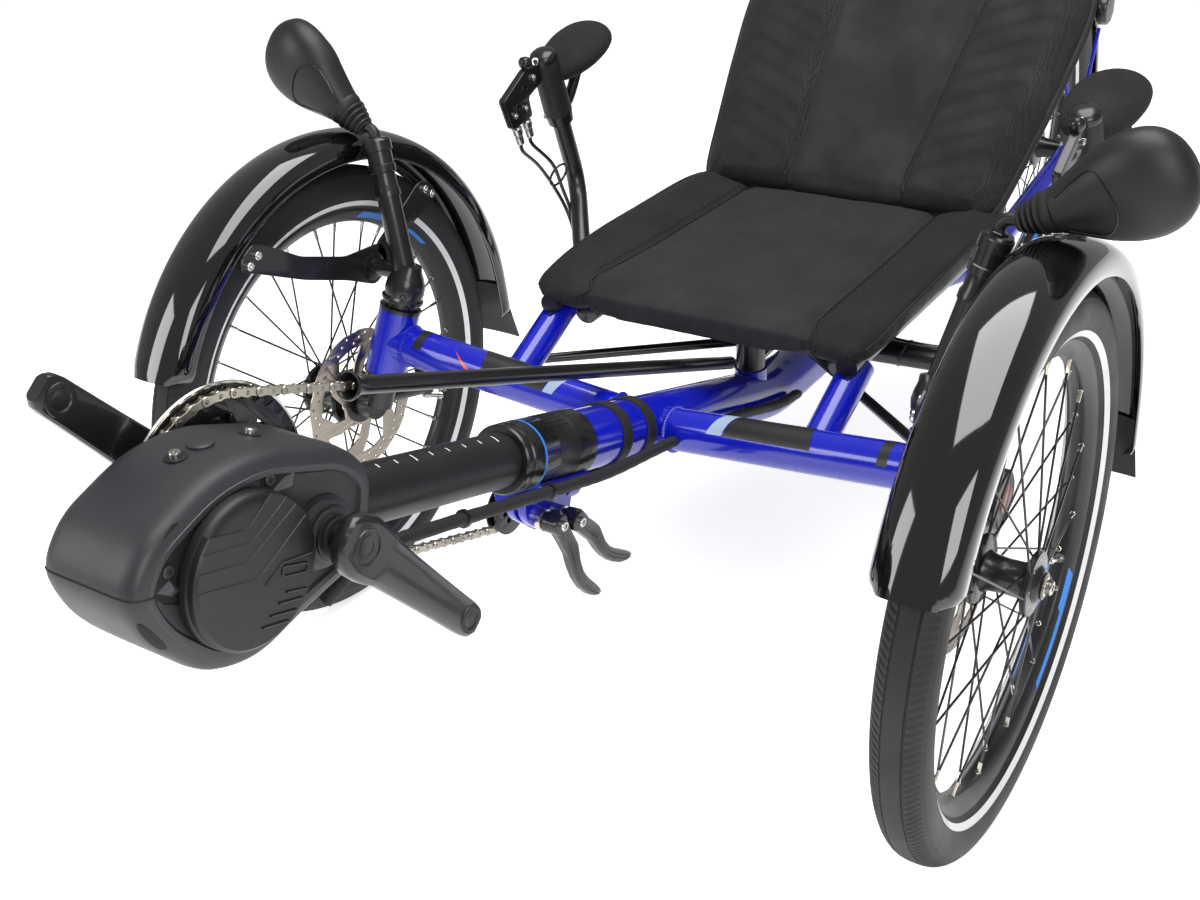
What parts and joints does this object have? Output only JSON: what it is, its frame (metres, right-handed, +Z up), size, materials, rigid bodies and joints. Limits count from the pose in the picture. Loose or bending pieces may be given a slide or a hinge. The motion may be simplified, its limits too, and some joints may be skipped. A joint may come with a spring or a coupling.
{
  "type": "recumbent tricycle",
  "caption": "Electric-assist recumbent tricycle: two steered front wheels with fenders, reclined mesh seat, low side handlebars, front mid motor on a boom.",
  "frame": {"origin": "on the floor, in the middle of the bounding box", "axes": "+X forward, +Y to the rider's left, +Z up"},
  "size_m": [2.0763, 1.002, 0.843],
  "materials": {
    "blue_paint": "gloss blue powder coat",
    "boom_black": "satin black",
    "collar_black": "satin black",
    "lever_black": "satin black",
    "frame_black": "satin black",
    "motor_grey": "satin dark grey",
    "chain_steel": "oiled",
    "tube_plastic": "black plastic tube",
    "idler_black": "black",
    "seat_fabric": "black mesh cloth",
    "fender_gloss": "gloss black",
    "battery_case": "matt black",
    "crank_black": "satin black anodised",
    "guard_black": "black",
    "grip_rubber": "matt black",
    "tyre": "black with a pale reflective stripe",
    "rim_black": "black anodised",
    "hub_black": "black anodised with black spokes",
    "mirror_shell": "black",
    "disc_steel": "brushed"
  },
  "bodies": {
    "frame": {"main_tube": "blue_paint", "boom": "boom_black", "boom_collar": "collar_black", "clamp_casting": "blue_paint", "clamp_levers": "lever_black", "cross_member": "blue_paint", "seat_struts": "blue_paint", "rear_frame": "blue_paint", "motor_housing": "motor_grey", "motor_cover": "motor_grey", "chain": "chain_steel", "chain_tubes": "tube_plastic", "idlers": "idler_black", "idler_arm": "lever_black", "derailleur": "lever_black", "seat_frame": "frame_black", "seat_cushion": "seat_fabric", "back_cushion": "seat_fabric", "fender_rear": "fender_gloss", "steering_pivot": "blue_paint", "battery": "battery_case"},
    "crank": {"cranks": "crank_black", "chainring": "guard_black"},
    "handlebar": {"handlebar": "frame_black", "grips": "grip_rubber", "brake_levers": "lever_black"},
    "tie_rod_left": {"tie_rod_left": "frame_black"},
    "tie_rod_right": {"tie_rod_right": "frame_black"},
    "wheel_rear": {"tyre_rear": "tyre", "rim_rear": "rim_black", "hub_rear": "hub_black", "cassette": "chain_steel"},
    "knuckle_left": {"knuckle_left": "frame_black", "post_left": "frame_black", "fender_left": "fender_gloss", "mirror_left": "mirror_shell", "caliper_left": "lever_black"},
    "wheel_left": {"tyre_left": "tyre", "rim_left": "rim_black", "hub_left": "hub_black", "disc_left": "disc_steel"},
    "knuckle_right": {"knuckle_right": "frame_black", "post_right": "frame_black", "fender_right": "fender_gloss", "mirror_right": "mirror_shell", "caliper_right": "lever_black"},
    "wheel_right": {"tyre_right": "tyre", "rim_right": "rim_black", "hub_right": "hub_black", "disc_right": "disc_steel"}
  },
  "joints": [
    {"name": "crank_spin", "type": "hinge", "parent": "frame", "child": "crank", "pos_m": [0.87927, 0, 0.43981], "axis": [0, 1, 0], "continuous": true},
    {"name": "steering", "type": "hinge", "parent": "frame", "child": "handlebar", "pos_m": [0.17427, 0, 0.299], "axis": [0, 0, 1], "range_deg": [-20, 20]},
    {"name": "wheel_rear_spin", "type": "hinge", "parent": "frame", "child": "wheel_rear", "pos_m": [-0.74573, 0, 0.251], "axis": [0, 1, 0], "continuous": true},
    {"name": "steer_left", "type": "hinge", "parent": "frame", "child": "knuckle_left", "pos_m": [0.43427, 0.32065, 0.251], "axis": [-0.2701, -0.2002, 0.9418], "range_deg": [-20, 20]},
    {"name": "wheel_left_spin", "type": "hinge", "parent": "knuckle_left", "child": "wheel_left", "pos_m": [0.43427, 0.38, 0.251], "axis": [0, 1, 0], "continuous": true},
    {"name": "tie_rod_left_swing", "type": "hinge", "parent": "handlebar", "child": "tie_rod_left", "pos_m": [0.09927, 0, 0.275], "axis": [0, 0, 1], "range_deg": [-20, 20]},
    {"name": "steer_right", "type": "hinge", "parent": "frame", "child": "knuckle_right", "pos_m": [0.43427, -0.32065, 0.251], "axis": [-0.2701, 0.2002, 0.9418], "range_deg": [-20, 20]},
    {"name": "wheel_right_spin", "type": "hinge", "parent": "knuckle_right", "child": "wheel_right", "pos_m": [0.43427, -0.38, 0.251], "axis": [0, 1, 0], "continuous": true},
    {"name": "tie_rod_right_swing", "type": "hinge", "parent": "handlebar", "child": "tie_rod_right", "pos_m": [0.09927, 0, 0.26], "axis": [0, 0, 1], "range_deg": [-20, 20]}
  ],
  "couplings": [
    {"joint": "steer_left", "follows": "steering", "ratio": 1},
    {"joint": "tie_rod_left_swing", "follows": "steering", "ratio": -1},
    {"joint": "steer_right", "follows": "steering", "ratio": 1},
    {"joint": "tie_rod_right_swing", "follows": "steering", "ratio": -1}
  ]
}
